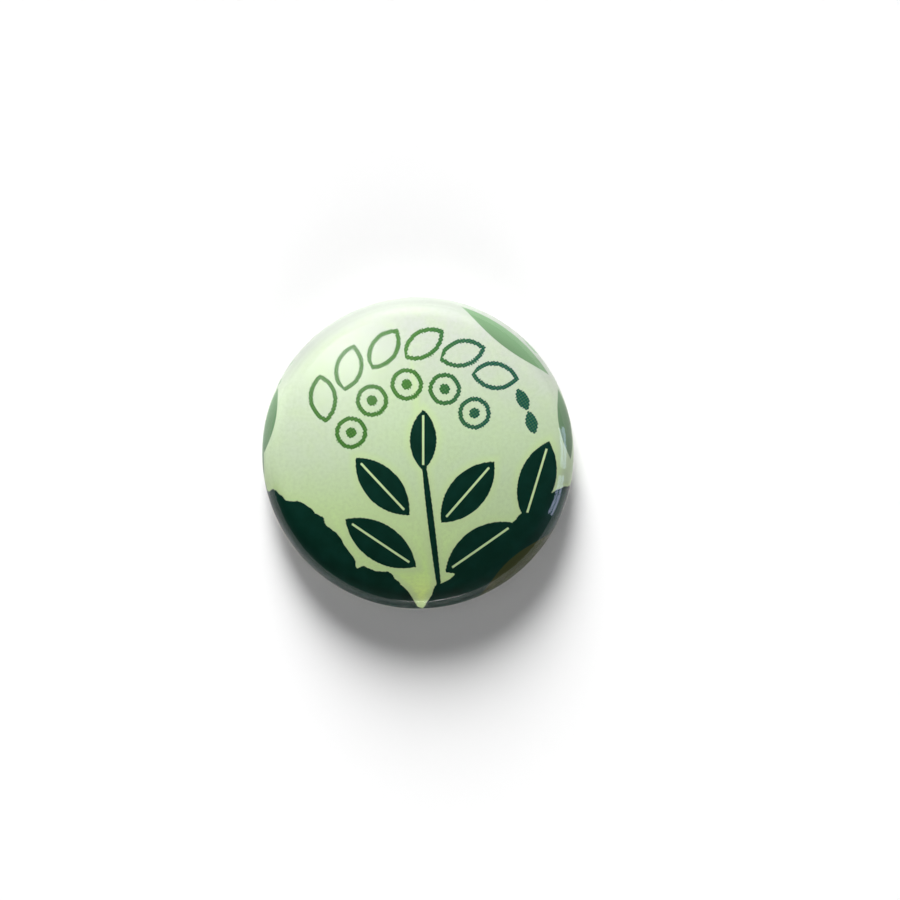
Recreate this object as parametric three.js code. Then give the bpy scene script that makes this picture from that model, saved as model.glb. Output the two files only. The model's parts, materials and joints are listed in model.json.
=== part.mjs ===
// Pin-back button badge: a printed paper disc under clear film, drawn over a domed tinplate shell and crimped round
// a pressed back plate, whose curled-in rim holds one length of spring wire bent into a ring, a clasp and a needle.
// Millimetres, +Z up. The badge lies on its back: the rim's crest is at z = 0 and the printed dome faces +Z.
import * as THREE from "three";

// Front: the outside of the clear film
const badgeRadius = 12.5;
const domeRadius = 44;
const shoulderRadius = 2.2;
const sideLength = 0.16;
const shoulderBelowCorner = 0.415;

// Layers of the front, from the outside in, and how far inside the curl's centre each one's edge is tucked
const filmThickness = 0.05;
const paperThickness = 0.1;
const shellThickness = 0.25;
const layerGap = 0.02;
const curlHollow = 0.06;
const filmTuck = 0.28;
const paperTuck = 0.22;
const shellTuck = 0.13;

// Back plate: one pressed disc with its rim curled over and inwards. Radii are to the middle of the sheet.
const plateThickness = 0.25;
const plateFit = 0.1;
const plateCornerRadius = 0.4;
const seamGap = 0.12;
const beadRadius = 0.5;
const beadLand = 0.24;
const lipTurnDeg = 45;
const lipLength = 0.3;

// Spring wire
const wireRadius = 0.375;
const wireClearance = 0.03;
const wallClearance = 0.04;
const rootBendRadius = 0.8;
const rootStub = 0.1;
const freeEndDeg = 166;
const ringStepDeg = 6;

// Clasp: a hairpin that reaches in from the ring and stands off the floor, over the needle's tip
const claspReach = 4.3;
const claspBendRadius = 1;
const claspSkewDeg = -14.5;
const claspFlareDeg = 8.5;
const claspLegLength = 1.2;
const claspBelowRim = 0.05;
const claspFlatWithin = 2.4;
const claspDownWithin = 1.1;
const cornerShare = 0.8;

// Where each leg of the clasp meets the ring: how far inside it, at which angle, and where the ring starts to close in
const nearLeg = { side: 1, inset: 1, joinDeg: 13.5, startDeg: 62 };
const farLeg = { side: -1, inset: 1.2, joinDeg: -16, startDeg: -40 };

// Needle
const needleAside = 0.35;
const needleGap = 0.1;
const needleOffFloor = 0.35;
const tipPastNose = 1.8;
const needleTaper = 3.2;
const tipRadius = 0.06;

// How finely the curves are cut
const turnSegments = 48;
const wireSides = 8;
const wireSteps = 170;
const needleSides = 12;

const colours = { film: 0xf4f8f4, paper: 0xcfe3b8, tinplate: 0xb9b7ae, plate: 0xbdb8a4, wire: 0xc9c0ac };

const { degToRad, radToDeg, lerp, smoothstep } = THREE.MathUtils;

// Points of an arc about (centreX, centreY), from one angle to another, both ends included
function arc(centreX, centreY, radius, fromDeg, toDeg, steps) {
  const points = [];
  for (let i = 0; i <= steps; i++) {
    const angle = degToRad(lerp(fromDeg, toDeg, i / steps));
    points.push(new THREE.Vector2(centreX + radius * Math.cos(angle), centreY + radius * Math.sin(angle)));
  }
  return points;
}

// The line parallel to a chain of points, at a distance to its left, with mitred corners
function parallel(points, distance) {
  const lefts = points.slice(1).map((point, i) => {
    const along = point.clone().sub(points[i]).normalize();
    return new THREE.Vector2(-along.y, along.x);
  });
  return points.map((point, i) => {
    const before = lefts[Math.max(i - 1, 0)];
    const after = lefts[Math.min(i, lefts.length - 1)];
    const mitre = before.clone().add(after).normalize();
    return point.clone().addScaledVector(mitre, distance / mitre.dot(after));
  });
}

// A closed body from a half section turned about Z: out from the axis along its top, then back along its underside
function turned(top, underside) {
  const profile = [...top, ...underside].reverse();
  return new THREE.LatheGeometry(profile, turnSegments).rotateX(Math.PI / 2);
}

// Stack of the back, from the rim's crest to the plate's floor: clasp, needle, and the space for cloth under it
const recessDepth = claspBelowRim + 4 * wireRadius + needleGap + needleOffFloor;
const floorMiddle = recessDepth + plateThickness / 2;

// Depth of each layer of the front under the film's outer face
const paperDepth = filmThickness + layerGap;
const shellDepth = paperDepth + paperThickness + layerGap;
const frontDepth = shellDepth + shellThickness;

// The curl has the whole stack of layers and a small hollow inside it
const curlRadius = frontDepth + curlHollow;
const curlCentreRadius = badgeRadius - curlRadius;

// Back plate's section: a corner that fits inside the shell, and a bead that stands out through the tucked edge
const cornerCentre = new THREE.Vector2(
  badgeRadius - frontDepth - plateFit - plateThickness / 2 - plateCornerRadius,
  floorMiddle - plateCornerRadius,
);
const beadCentre = new THREE.Vector2(
  curlCentreRadius - filmTuck - seamGap - plateThickness / 2 - beadRadius,
  plateThickness / 2 + beadRadius,
);

// The plate's wall leans in from the corner to the bead, along the line that touches both arcs
const cornerFromBead = cornerCentre.clone().sub(beadCentre);
const wallLean =
  Math.acos((beadRadius - plateCornerRadius) / cornerFromBead.length()) -
  Math.atan2(cornerFromBead.y, cornerFromBead.x);

function backPlate() {
  const wallLeanDeg = radToDeg(wallLean);
  const lipStart = arc(beadCentre.x - beadLand, beadCentre.y, beadRadius, -90, -90 - lipTurnDeg, 3);
  const lipDirection = new THREE.Vector2(-1, 0).rotateAround(new THREE.Vector2(), -degToRad(lipTurnDeg));
  const middle = [
    new THREE.Vector2(0, floorMiddle),
    ...arc(cornerCentre.x, cornerCentre.y, plateCornerRadius, 90, -wallLeanDeg, 4),
    ...arc(beadCentre.x, beadCentre.y, beadRadius, -wallLeanDeg, -90, 4),
    ...lipStart,
    lipStart.at(-1).clone().addScaledVector(lipDirection, lipLength),
  ];
  const top = parallel(middle, plateThickness / 2);
  const underside = parallel(middle, -plateThickness / 2).reverse();
  return turned(top, underside);
}

// Front's section: the dome, a shoulder tangent to it, a short straight side and the curl round the plate's corner
const shoulderCentre = new THREE.Vector2(badgeRadius - shoulderRadius, cornerCentre.y - shoulderBelowCorner);
const shoulderStart = Math.asin(shoulderCentre.x / (domeRadius - shoulderRadius));
const domeCentreHeight = shoulderCentre.y - (domeRadius - shoulderRadius) * Math.cos(shoulderStart);
const curlCentre = new THREE.Vector2(curlCentreRadius, shoulderCentre.y - sideLength);

function frontLine(depth, wrapDeg) {
  const shoulderStartDeg = 90 - radToDeg(shoulderStart);
  return [
    ...arc(0, domeCentreHeight, domeRadius - depth, 90, shoulderStartDeg, 4),
    ...arc(shoulderCentre.x, shoulderCentre.y, shoulderRadius - depth, shoulderStartDeg, 0, 5).slice(1),
    ...arc(curlCentre.x, curlCentre.y, curlRadius - depth, 0, -wrapDeg, 5),
  ];
}

function frontLayer(depth, thickness, tuck) {
  const wrapDeg = 90 + radToDeg(Math.asin(tuck / (curlRadius - depth)));
  const top = frontLine(depth, wrapDeg);
  const underside = frontLine(depth + thickness, wrapDeg).reverse();
  top[0].x = 0;
  underside.at(-1).x = 0;
  return turned(top, underside);
}

// The wire is drawn as seen from the back, with the plate's floor at height 0 and the clasp towards +X
const ringHeight = wireRadius + wireClearance;
const claspHeight = recessDepth - claspBelowRim - wireRadius;
const needleHeight = needleOffFloor + wireRadius;

// The ring springs out until it nearly touches the leaning wall
const wallInside = beadRadius - plateThickness / 2;
const wallFoot = new THREE.Vector2(
  beadCentre.x + wallInside * Math.cos(wallLean),
  beadCentre.y - wallInside * Math.sin(wallLean),
);
const wallRadiusAtRing = wallFoot.x + (recessDepth - ringHeight - wallFoot.y) * Math.tan(wallLean);
const ringRadius = wallRadiusAtRing - (wireRadius + wallClearance) / Math.cos(wallLean);

// The root bend turns the ring onto the needle's line, where a short stub meets the needle
const rootBendCentre = new THREE.Vector2(0, needleAside - rootBendRadius);
rootBendCentre.x = rootBendRadius - Math.sqrt(ringRadius ** 2 - rootBendCentre.y ** 2);
const stubEnd = rootBendCentre.x + rootStub;
const needleRootAt = stubEnd + wireRadius + wireClearance;

const claspNoseAt = ringRadius - claspReach;
const claspBendCentre = new THREE.Vector2(claspNoseAt + claspBendRadius, 0);

// The clasp drops from its own height to the floor as it nears the ring
function onClaspSlope(point) {
  const flatTo = ringRadius - claspFlatWithin;
  const down = smoothstep(point.length(), flatTo, ringRadius - claspDownWithin);
  return new THREE.Vector3(point.x, point.y, lerp(claspHeight, ringHeight, down));
}

function ringPoint(radius, angleDeg) {
  const angle = degToRad(angleDeg);
  return new THREE.Vector3(radius * Math.cos(angle), radius * Math.sin(angle), ringHeight);
}

// Ring points between two angles, both ends included
function ringRun(fromDeg, toDeg, radiusAt = () => ringRadius) {
  const steps = Math.ceil(Math.abs(toDeg - fromDeg) / ringStepDeg);
  const points = [];
  for (let i = 0; i <= steps; i++) {
    const angleDeg = lerp(fromDeg, toDeg, i / steps);
    points.push(ringPoint(radiusAt(angleDeg), angleDeg));
  }
  return points;
}

// The stretch of ring that closes in smoothly to meet a leg, from where it starts to the join
function closingIn(leg) {
  return ringRun(leg.startDeg, leg.joinDeg, (angleDeg) => {
    const share = (angleDeg - leg.startDeg) / (leg.joinDeg - leg.startDeg);
    return ringRadius - leg.inset * smoothstep(share, 0, 1);
  });
}

// One leg of the clasp, from the hairpin outwards, and the rounded corner that takes it into the ring
function claspLeg(leg) {
  const origin = new THREE.Vector2();
  const fromCentre = new THREE.Vector2(0, leg.side * claspBendRadius).rotateAround(origin, degToRad(claspSkewDeg));
  const start = claspBendCentre.clone().add(fromCentre);
  const heading = degToRad(claspSkewDeg + leg.side * claspFlareDeg);
  const along = new THREE.Vector2(Math.cos(heading), Math.sin(heading));
  const end = start.clone().addScaledVector(along, claspLegLength);
  const joined = ringPoint(ringRadius - leg.inset, leg.joinDeg);
  const corner = end.clone().addScaledVector(along, (ringRadius - leg.inset - end.length()) * cornerShare);
  const rounding = new THREE.QuadraticBezierCurve(end, corner, new THREE.Vector2(joined.x, joined.y));
  return [start, ...rounding.getPoints(4).slice(0, -1)].map(onClaspSlope);
}

function rootBend() {
  const bend = arc(rootBendCentre.x, rootBendCentre.y, rootBendRadius, 90, 180, 4);
  return bend.map((point, i) => {
    const down = smoothstep(i / (bend.length - 1), 0, 1);
    return new THREE.Vector3(point.x, point.y, lerp(needleHeight, ringHeight, down));
  });
}

// The wire's centre line: stub, root bend, ring, clasp, and the rest of the ring to its free end
function wirePath() {
  const bend = rootBend();
  const bendEndDeg = radToDeg(Math.atan2(bend.at(-1).y, bend.at(-1).x));
  const hairpin = arc(
    claspBendCentre.x, claspBendCentre.y, claspBendRadius, 270 + claspSkewDeg, 90 + claspSkewDeg, 6,
  );
  const points = [
    new THREE.Vector3(stubEnd, needleAside, needleHeight),
    ...bend,
    ...ringRun(bendEndDeg, farLeg.startDeg).slice(1),
    ...closingIn(farLeg).slice(1),
    ...claspLeg(farLeg).reverse(),
    ...hairpin.slice(1, -1).map(onClaspSlope),
    ...claspLeg(nearLeg),
    ...closingIn(nearLeg).reverse(),
    ...ringRun(nearLeg.startDeg, freeEndDeg).slice(1),
  ];
  return new THREE.CatmullRomCurve3(points, false, "centripetal");
}

function springWire() {
  const corners = [];
  for (let i = 0; i < wireSides; i++) {
    const angle = (2 * Math.PI * (i + 0.5)) / wireSides;
    corners.push(new THREE.Vector2(wireRadius * Math.cos(angle), wireRadius * Math.sin(angle)));
  }
  return new THREE.ExtrudeGeometry(new THREE.Shape(corners), {
    steps: wireSteps,
    extrudePath: wirePath(),
    bevelEnabled: false,
  });
}

// The needle is turned about its own axis, from the ball at its root to the ground point, and laid along +X
function needle() {
  const length = claspNoseAt + tipPastNose - needleRootAt;
  const taperShares = [[0, 1], [0.3, 0.97], [0.6, 0.82], [0.85, 0.5]];
  const taper = taperShares.map(
    ([along, width]) => new THREE.Vector2(width * wireRadius, length - needleTaper * (1 - along)),
  );
  const profile = [
    new THREE.Vector2(0, -wireRadius),
    ...arc(0, 0, wireRadius, -90, 0, 4).slice(1),
    ...taper,
    new THREE.Vector2(tipRadius, length),
    new THREE.Vector2(0, length),
  ];
  return new THREE.LatheGeometry(profile, needleSides).rotateZ(-Math.PI / 2);
}

function named(name, geometry, colour, roughness, metalness) {
  const mesh = new THREE.Mesh(geometry, new THREE.MeshStandardMaterial({ color: colour, roughness, metalness }));
  mesh.name = name;
  return mesh;
}

const badge = new THREE.Group();
badge.add(
  named("clear_film", frontLayer(0, filmThickness, filmTuck), colours.film, 0.08, 0),
  named("printed_paper", frontLayer(paperDepth, paperThickness, paperTuck), colours.paper, 0.6, 0),
  named("front_shell", frontLayer(shellDepth, shellThickness, shellTuck), colours.tinplate, 0.35, 1),
  named("back_plate", backPlate(), colours.plate, 0.28, 1),
);

const backView = new THREE.Group();
backView.position.z = recessDepth;
backView.rotation.y = Math.PI;
badge.add(backView);

const pinNeedle = named("pin_needle", needle(), colours.wire, 0.25, 1);
pinNeedle.position.set(needleRootAt, needleAside, needleHeight);
backView.add(named("spring_wire", springWire(), colours.wire, 0.25, 1), pinNeedle);

export default badge;
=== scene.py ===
import json
import math
import random

import bpy
from bpy.props import FloatProperty, FloatVectorProperty, IntProperty, PointerProperty
from mathutils import Matrix, Vector


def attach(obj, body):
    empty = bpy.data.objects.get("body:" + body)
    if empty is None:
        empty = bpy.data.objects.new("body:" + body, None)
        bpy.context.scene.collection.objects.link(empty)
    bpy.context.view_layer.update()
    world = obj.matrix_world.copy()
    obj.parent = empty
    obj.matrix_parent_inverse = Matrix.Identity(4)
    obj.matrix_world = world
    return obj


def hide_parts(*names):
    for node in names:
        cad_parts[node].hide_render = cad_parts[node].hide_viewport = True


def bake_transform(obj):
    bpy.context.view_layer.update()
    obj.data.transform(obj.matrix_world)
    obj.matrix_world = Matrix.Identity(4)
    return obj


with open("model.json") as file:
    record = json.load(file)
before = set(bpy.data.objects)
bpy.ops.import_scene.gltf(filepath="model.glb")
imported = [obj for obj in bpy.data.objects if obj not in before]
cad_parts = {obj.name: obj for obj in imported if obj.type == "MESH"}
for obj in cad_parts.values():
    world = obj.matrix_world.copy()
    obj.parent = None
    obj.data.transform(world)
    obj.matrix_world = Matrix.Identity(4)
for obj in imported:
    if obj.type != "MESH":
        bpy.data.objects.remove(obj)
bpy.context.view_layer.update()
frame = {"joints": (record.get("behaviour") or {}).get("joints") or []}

bl_info = {
    "name": "Pin-back Button Badge",
    "version": (1, 0, 0),
    "blender": (4, 5, 0),
    "location": "3D View > Sidebar > Badge",
    "description": "Makes a 25 mm button badge with a printed front, a pressed back plate and a spring wire pin",
    "category": "Object",
}

TURN = 2 * math.pi
FLAT_MAP = "FlatDisc"
FINE_SEGMENTS = 480     # steps round the film, the paper and the plate
SHELL_SEGMENTS = 144    # steps round the shell, which nothing shows


# Sizes and colours

def length(name, description, default):
    """A size in metres, shown in the scene's own unit."""
    return FloatProperty(name=name, description=description, default=default, min=0, unit="LENGTH", precision=5)


def angle(name, description, degrees):
    return FloatProperty(name=name, description=description, default=math.radians(degrees), subtype="ANGLE")


def colour(name, description, *value):
    return FloatVectorProperty(
        name=name, description=description, default=(*value, 1), size=4, min=0, max=1, subtype="COLOR"
    )


class BADGE_PG_front(bpy.types.PropertyGroup):
    """Sizes of the film, the printed disc and the shell"""

    badge_radius: length("Badge Radius", "Half of the width over the film", 0.0125)
    dome_radius: length("Dome Radius", "Radius of the domed face", 0.044)
    shoulder_radius: length("Shoulder Radius", "Radius of the turn from dome to side", 0.0022)
    side_length: length("Side", "Straight stretch between shoulder and curl", 0.00016)
    shoulder_drop: length("Shoulder Drop", "Height of the shoulder's centre under the plate's corner", 0.000415)
    film_thickness: length("Film", "Thickness of the clear film", 0.00005)
    paper_thickness: length("Paper", "Thickness of the printed paper", 0.0001)
    shell_thickness: length("Shell", "Thickness of the tinplate shell", 0.00025)
    layer_gap: length("Layer Gap", "Space between one layer and the next", 0.00002)
    curl_hollow: length("Curl Hollow", "Space left inside the curl", 0.00006)
    film_tuck: length("Film Tuck", "How far in the film's edge is tucked", 0.00028)
    paper_tuck: length("Paper Tuck", "How far in the paper's edge is tucked", 0.00022)
    shell_tuck: length("Shell Tuck", "How far in the shell's edge is tucked", 0.00013)
    pleats: IntProperty(name="Pleats", description="Creases round the tucked edge", default=64, min=0)
    pleat_height: length("Pleat Height", "How far the strongest crease stands out", 0.00005)


class BADGE_PG_back(bpy.types.PropertyGroup):
    """Sizes of the pressed back plate"""

    plate_thickness: length("Plate", "Thickness of the sheet", 0.00025)
    plate_fit: length("Plate Fit", "Space between plate and shell", 0.0001)
    corner_radius: length("Corner Radius", "Radius of the plate's outer corner", 0.0004)
    seam_gap: length("Seam Gap", "Space between the tucked film and the bead", 0.00012)
    bead_radius: length("Bead Radius", "Radius of the rolled bead", 0.0005)
    bead_land: length("Bead Land", "Flat on the bead's crest", 0.00024)
    lip_turn: angle("Lip Turn", "How far the rim curls over past its crest", 45)
    lip_length: length("Lip", "Straight end of the lip", 0.0003)
    recess_depth: length("Recess", "From the rim's crest to the plate's floor", 0.002)
    floor_swell: length("Floor Swell", "How far the floor's middle is pressed out of flat", 0.00004)
    edge_rounding: length("Edge Rounding", "Rounding of the sheet's cut edge", 0.00005)


class BADGE_PG_wire(bpy.types.PropertyGroup):
    """Sizes of the spring wire"""

    wire_radius: length("Wire Radius", "Half of the wire's thickness", 0.000375)
    floor_gap: length("Floor Gap", "Space between ring and floor", 0.00003)
    wall_gap: length("Wall Gap", "Space between ring and leaning wall", 0.00004)
    root_bend: length("Root Bend", "Radius of the bend from ring to needle", 0.0008)
    root_stub: length("Root Stub", "Straight wire between root bend and needle", 0.0001)
    clasp_reach: length("Clasp Reach", "How far the hairpin reaches in from the ring", 0.0043)
    clasp_bend: length("Clasp Bend", "Radius of the hairpin's nose", 0.001)
    clasp_skew: angle("Clasp Skew", "Turn of the hairpin off the needle's line", -14.5)
    clasp_flare: angle("Clasp Flare", "How far each leg opens from the hairpin's line", 8.5)
    clasp_leg: length("Clasp Leg", "Straight stretch of each leg", 0.0012)
    clasp_below_rim: length("Clasp Below Rim", "How far the clasp stays under the crest", 0.00005)
    needle_aside: length("Needle Offset", "Distance of the needle from the middle", 0.00035)
    needle_rise: length("Needle Rise", "Space between needle and floor", 0.00035)
    tip_past_nose: length("Tip Past Nose", "How far the point reaches under the clasp", 0.0018)
    needle_taper: length("Needle Taper", "Length of the ground point", 0.0032)
    tip_radius: length("Tip Radius", "Rounding of the point", 0.00006)


class BADGE_PG_colours(bpy.types.PropertyGroup):
    """Colours of the print and the metals, with painted light and shade in some of them"""

    # Ground tones are partly print and partly painted light: the top is darker as painted shade under the low light
    # from the top, and the lower half and bottom edge are lighter as painted light where the lights fall off.
    mint: colour("Mint", "Print ground at the top", 0.55, 0.585, 0.53)
    green: colour("Pale Green", "Print ground in the middle", 0.56, 0.70, 0.455)
    # painted highlight: a paler ground on the upper left stands in for the mirrored soft glow
    painted_highlight_mint: colour("Pale Mint", "Print ground on the left", 0.60, 0.685, 0.54)
    # painted shade: a darker ground over the top edge, where the low light from the top falls strongest
    brim_shade: colour("Brim", "Print ground where it turns over the top edge", 0.335, 0.365, 0.32)
    lime: colour("Lime", "Print ground in the lower half", 0.64, 0.88, 0.31)
    # painted light: a lighter tone at the bottom edge, where the low lights fall off
    painted_light_straw: colour("Straw", "Print ground at the bottom edge", 0.80, 0.98, 0.33)
    halo: colour("Halo", "Pale edge round the dark shapes", 0.56, 0.72, 0.37)
    teal: colour("Teal", "Large dark shapes", 0.0005, 0.024, 0.014)
    leaf: colour("Leaf Green", "Outlined shapes on the left", 0.045, 0.165, 0.024)
    sage: colour("Sage", "Patches along the rim", 0.15, 0.26, 0.14)
    sea: colour("Sea Green", "Outlined shapes on the right", 0.008, 0.078, 0.060)
    olive: colour("Olive", "Ground at the lower right", 0.040, 0.048, 0.010)
    plate: colour("Plate", "Sheet of the back plate", 0.66, 0.65, 0.625)
    bead: colour("Bead", "Burnished bead of the back plate", 0.78, 0.75, 0.69)
    tinplate: colour("Tinplate", "Sheet of the front shell", 0.55, 0.55, 0.52)
    wire: colour("Wire", "Nickel-plated spring wire", 0.76, 0.66, 0.565)
    stain: colour("Stain", "Dull film in the wire's hollows", 0.36, 0.25, 0.17)
    specks: colour("Specks", "Specks in the print ground", 0.36, 0.47, 0.27)
    halftone: colour("Halftone", "Dots in the outlined shapes", 0.17, 0.34, 0.09)
    worn_film: colour("Worn Film", "Film whitened along its creases", 0.84, 0.87, 0.85)
    plate_bands: colour("Plate Bands", "Slow darker bands in the sheet", 0.50, 0.48, 0.44)
    plate_lines: colour("Plate Lines", "Fine bright lines in the sheet", 0.80, 0.79, 0.76)
    bead_lines: colour("Bead Lines", "Fine darker lines round the bead", 0.60, 0.55, 0.47)
    # painted shade: the bead turns darker and warmer towards its inner foot
    bead_foot_shade: colour("Bead Foot", "Inner foot of the bead", 0.52, 0.46, 0.34)
    # painted shade: the slope's dark brown stands in for shade, with real draw marks over it
    slope: colour("Slope", "Dull slope inside the bead", 0.15, 0.12, 0.07)
    slope_marks: colour("Slope Marks", "Draw marks on the slope", 0.33, 0.27, 0.17)
    floor: colour("Floor", "Surface under the badge", 0.96, 0.96, 0.96)


class BADGE_PG_stage(bpy.types.PropertyGroup):
    """Camera and lamps"""

    view_width: length("View Width", "Width of the camera's view at the badge", 0.0722)
    camera_height: length("Camera Height", "Distance from camera to badge", 0.27)
    view_right: length("View Right", "How far the view's middle lies right of the badge", 0.00256)
    view_up: length("View Up", "How far the view's middle lies above the badge", 0.00024)
    key_level: FloatProperty(name="Key", description="Peak radiance of the low light from the top", default=43.0, min=0)
    sky_level: FloatProperty(name="Sky", description="Radiance of the even light", default=0.07, min=0)
    soft_level: FloatProperty(name="Soft Light", description="Radiance of the soft overhead light", default=0.6, min=0)
    fill_level: FloatProperty(name="Fill", description="Radiance of the low light from the bottom", default=8.5, min=0)


# Drawing and turning sections

def arc(centre, radius, start, end, steps):
    """Points of an arc, both ends included."""
    angles = [start + (end - start) * i / steps for i in range(steps + 1)]
    return [centre + radius * Vector((math.cos(a), math.sin(a))) for a in angles]


def ease(value, low=0.0, high=1.0):
    """Rises smoothly from 0 at low to 1 at high."""
    share = min(max((value - low) / (high - low), 0), 1)
    return share * share * (3 - 2 * share)


def blend(low, high, share):
    return low + (high - low) * share


def draw_line(name, points):
    """A plane merged to one vertex and drawn out through the points, left in edit mode."""
    bpy.ops.object.select_all(action="DESELECT")
    bpy.ops.mesh.primitive_plane_add(size=0.001, calc_uvs=False)
    piece = bpy.context.object
    piece.name = piece.data.name = name
    bpy.ops.object.mode_set(mode="EDIT")
    bpy.ops.mesh.merge(type="CENTER")
    bpy.ops.transform.translate(value=points[0])
    for before, after in zip(points, points[1:]):
        bpy.ops.mesh.extrude_region_move(TRANSFORM_OT_translate={"value": after - before})
    return piece


def close_mesh():
    """Merges doubled points in edit mode, points the faces outwards and leaves edit mode."""
    bpy.ops.mesh.select_all(action="SELECT")
    bpy.ops.mesh.remove_doubles(threshold=1e-6)
    bpy.ops.mesh.normals_make_consistent(inside=False)
    bpy.ops.object.mode_set(mode="OBJECT")


def turn_section(name, section, segments):
    """A section drawn in X and Z, turned about Z, with its length from the first point kept as "spread"."""
    line = [Vector((point.x, 0, point.y)) for point in section]
    piece = draw_line(name, line)
    bpy.ops.object.mode_set(mode="OBJECT")
    run = [0.0]
    for before, after in zip(line, line[1:]):
        run.append(run[-1] + (after - before).length)
    nearest = [min(range(len(line)), key=lambda i: (line[i] - vertex.co).length) for vertex in piece.data.vertices]
    piece.data.attributes.new("spread", "FLOAT", "POINT").data.foreach_set("value", [run[i] for i in nearest])
    bpy.ops.object.mode_set(mode="EDIT")
    bpy.ops.mesh.select_all(action="SELECT")
    bpy.ops.mesh.spin(steps=segments, angle=TURN, center=(0, 0, 0), axis=(0, 0, 1))
    close_mesh()
    top = max(piece.data.polygons, key=lambda face: face.center.z)
    if top.normal.z < 0:
        bpy.ops.object.mode_set(mode="EDIT")
        bpy.ops.mesh.flip_normals()
        bpy.ops.object.mode_set(mode="OBJECT")
    return piece


def modify(piece, kind, **settings):
    """Adds a modifier, sets it up and applies it."""
    modifier = piece.modifiers.new(kind.title(), kind)
    for key, value in settings.items():
        setattr(modifier, key, value)
    bpy.ops.object.modifier_apply(modifier=modifier.name)


def thicken(piece, thickness, offset):
    """Gives the sheet its wall. Offset -1 keeps the drawn line outside, 0 keeps it in the middle."""
    modify(piece, "SOLIDIFY", thickness=thickness, offset=offset, use_even_offset=True)


def finish_piece(piece, material, body, slot, *nodes):
    """Smooths a finished piece, gives it its material, hides the parts that it stands for and, if it has a body,
    attaches it to that body.
    """
    bpy.ops.object.shade_smooth_by_angle(angle=math.radians(40))
    if "spread" in piece.data.attributes:
        piece.data.attributes.remove(piece.data.attributes["spread"])
    piece.data.materials.clear()
    piece.data.materials.append(material)
    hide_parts(*nodes)
    if body:
        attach(piece, body)


# Sections of the badge

def layer_depths(front):
    """Depth of the film, the paper, the shell and the shell's inside, under the film's face."""
    paper = front.film_thickness + front.layer_gap
    shell = paper + front.paper_thickness + front.layer_gap
    return 0, paper, shell, shell + front.shell_thickness


def curl_radius(front):
    return layer_depths(front)[3] + front.curl_hollow


def corner_centre(front, back):
    """Centre of the plate's corner, which fits inside the shell."""
    inside = layer_depths(front)[3] + back.plate_fit + back.plate_thickness / 2 + back.corner_radius
    return Vector((front.badge_radius - inside, back.recess_depth + back.plate_thickness / 2 - back.corner_radius))


def bead_centre(front, back):
    """Centre of the bead, which stands out through the film's tucked edge."""
    tucked = front.badge_radius - curl_radius(front) - front.film_tuck
    across = tucked - back.seam_gap - back.plate_thickness / 2 - back.bead_radius
    return Vector((across, back.plate_thickness / 2 + back.bead_radius))


def wall_lean(front, back):
    """How far the plate's wall leans in, along the line that touches corner and bead."""
    across = corner_centre(front, back) - bead_centre(front, back)
    return math.acos((back.bead_radius - back.corner_radius) / across.length) - math.atan2(across.y, across.x)


def shoulder_centre(front, back):
    return Vector((front.badge_radius - front.shoulder_radius, corner_centre(front, back).y - front.shoulder_drop))


def front_section(front, back, depth, tuck):
    """Dome, shoulder, side and curl of one layer, and how many points come before the curl."""
    shoulder = shoulder_centre(front, back)
    inner = front.dome_radius - front.shoulder_radius
    lean = math.asin(shoulder.x / inner)
    dome = Vector((0, shoulder.y - inner * math.cos(lean)))
    curl = Vector((front.badge_radius - curl_radius(front), shoulder.y - front.side_length))
    wrap = math.pi / 2 + math.asin(tuck / (curl_radius(front) - depth))
    points = arc(dome, front.dome_radius - depth, math.pi / 2, math.pi / 2 - lean, 12)
    points[0].x = 0
    points += arc(shoulder, front.shoulder_radius - depth, math.pi / 2 - lean, 0, 14)[1:]
    return points, arc(curl, curl_radius(front) - depth, 0, -wrap, 18)


def pleat_heights(front):
    """Height of the creases at each step of the turn, as a share of the highest."""
    chance = random.Random(7)
    heights = [0.0] * FINE_SEGMENTS
    step = TURN / FINE_SEGMENTS
    for _ in range(front.pleats):
        middle = chance.uniform(0, TURN)
        width = math.radians(chance.uniform(0.6, 1.5))
        height = chance.uniform(0.25, 1)
        for i in range(FINE_SEGMENTS):
            away = (i * step - middle + math.pi) % TURN - math.pi
            heights[i] = max(heights[i], height * math.exp(-((away / width) ** 2)))
    return heights


RING_CREASE = {"height": 0.35, "middle": 0.66, "width": 0.07}    # shares of pleat height and of the curl's length


def press_pleats(piece, front, back, start):
    """Raises radial creases and one ring-shaped crease where the layer is drawn in round the curl."""
    heights = pleat_heights(front)
    curl = Vector((front.badge_radius - curl_radius(front), shoulder_centre(front, back).y - front.side_length))
    spread = piece.data.attributes["spread"].data
    end = max(item.value for item in spread)
    for vertex, item in zip(piece.data.vertices, spread):
        share = (item.value - start) / (end - start)
        if share <= 0:
            continue
        around = math.atan2(vertex.co.y, vertex.co.x)
        crease = heights[round(around / TURN * FINE_SEGMENTS) % FINE_SEGMENTS] * ease(share, 0.1, 0.75)
        ring = RING_CREASE["height"] * math.exp(-(((share - RING_CREASE["middle"]) / RING_CREASE["width"]) ** 2))
        outward = (Vector((vertex.co.xy.length, vertex.co.z)) - curl).normalized()
        lift = front.pleat_height * max(crease, ring)
        direction = vertex.co.xy.normalized()
        vertex.co += Vector((*(direction * outward.x), outward.y)) * lift


def map_flat(piece, reach):
    """A UV map of the flat disc that the layer was before it was drawn over the dome."""
    mesh = piece.data
    spread = mesh.attributes["spread"].data
    spots = []
    for vertex in mesh.vertices:
        out = spread[vertex.index].value / (2 * reach)
        direction = vertex.co.xy.normalized()
        spots.append((0.5 + direction.x * out, 0.5 + direction.y * out))
    layer = mesh.uv_layers.new(name=FLAT_MAP)
    flat = [part for loop in mesh.loops for part in spots[loop.vertex_index]]
    layer.data.foreach_set("uv", flat)


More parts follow.
